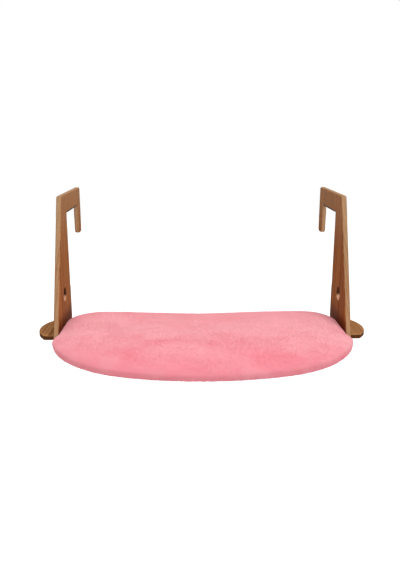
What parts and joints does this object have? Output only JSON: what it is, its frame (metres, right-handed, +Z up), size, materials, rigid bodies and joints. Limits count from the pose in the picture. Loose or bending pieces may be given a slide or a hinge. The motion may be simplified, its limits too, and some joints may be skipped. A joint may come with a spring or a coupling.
{
  "type": "cat radiator bed",
  "caption": "Hanging cat bed: a plush D-shaped cushion on a wooden board carried by wooden hook brackets that drop over a radiator.",
  "frame": {"origin": "midway between the two hooks, where the plane of the radiator's front (the felt on the brackets' back edges) meets the plane that the hooks rest on (the underside of the felt under the hook arms)", "axes": "+X across the bed to the right as seen from the room, +Y from the room towards the wall, +Z up"},
  "size_m": [0.5558, 0.4335, 0.2359],
  "materials": {
    "bracket_wood": "brown stained, satin varnish",
    "board_wood": "brown stained, satin varnish",
    "screw_steel": "zinc plated",
    "felt": "pressed felt",
    "grip_hook": "hook tape",
    "grip_loop": "loop tape",
    "plush": "short pile plush",
    "base_fabric": "woven",
    "filling": "fibre wadding",
    "zip_tape": "woven tape",
    "zip_coil": "nylon coil",
    "zip_metal": "nickel plated"
  },
  "bodies": {
    "frame": {"bracket_left": "bracket_wood", "bracket_right": "bracket_wood", "seat_board": "board_wood", "tab_screws_left": "screw_steel", "tab_screws_right": "screw_steel", "hook_felt_left": "felt", "hook_felt_right": "felt", "rest_felt_left": "felt", "rest_felt_right": "felt", "grip_hook_strips": "grip_hook"},
    "cushion": {"grip_loop_strips": "grip_loop", "cushion_cover": "plush", "cushion_base": "base_fabric", "cushion_filling": "filling", "zip_tape_upper": "zip_tape", "zip_tape_lower": "zip_tape", "zip_chain": "zip_coil", "zip_end_stops": "zip_metal"},
    "slider": {"zip_slider": "zip_metal"},
    "pull": {"zip_pull": "zip_metal"}
  },
  "joints": [
    {"name": "cushion_lift", "type": "slide", "parent": "frame", "child": "cushion", "axis": [0, 0, 1], "range_m": [0, 0.15]},
    {"name": "zip_slide", "type": "slide", "parent": "cushion", "child": "slider", "axis": [1, 0, 0], "range_m": [0, 0.2904]},
    {"name": "pull_swing", "type": "hinge", "parent": "slider", "child": "pull", "pos_m": [-0.1452, -0.00999, -0.18442], "axis": [1, 0, 0], "range_deg": [0, 165]}
  ]
}
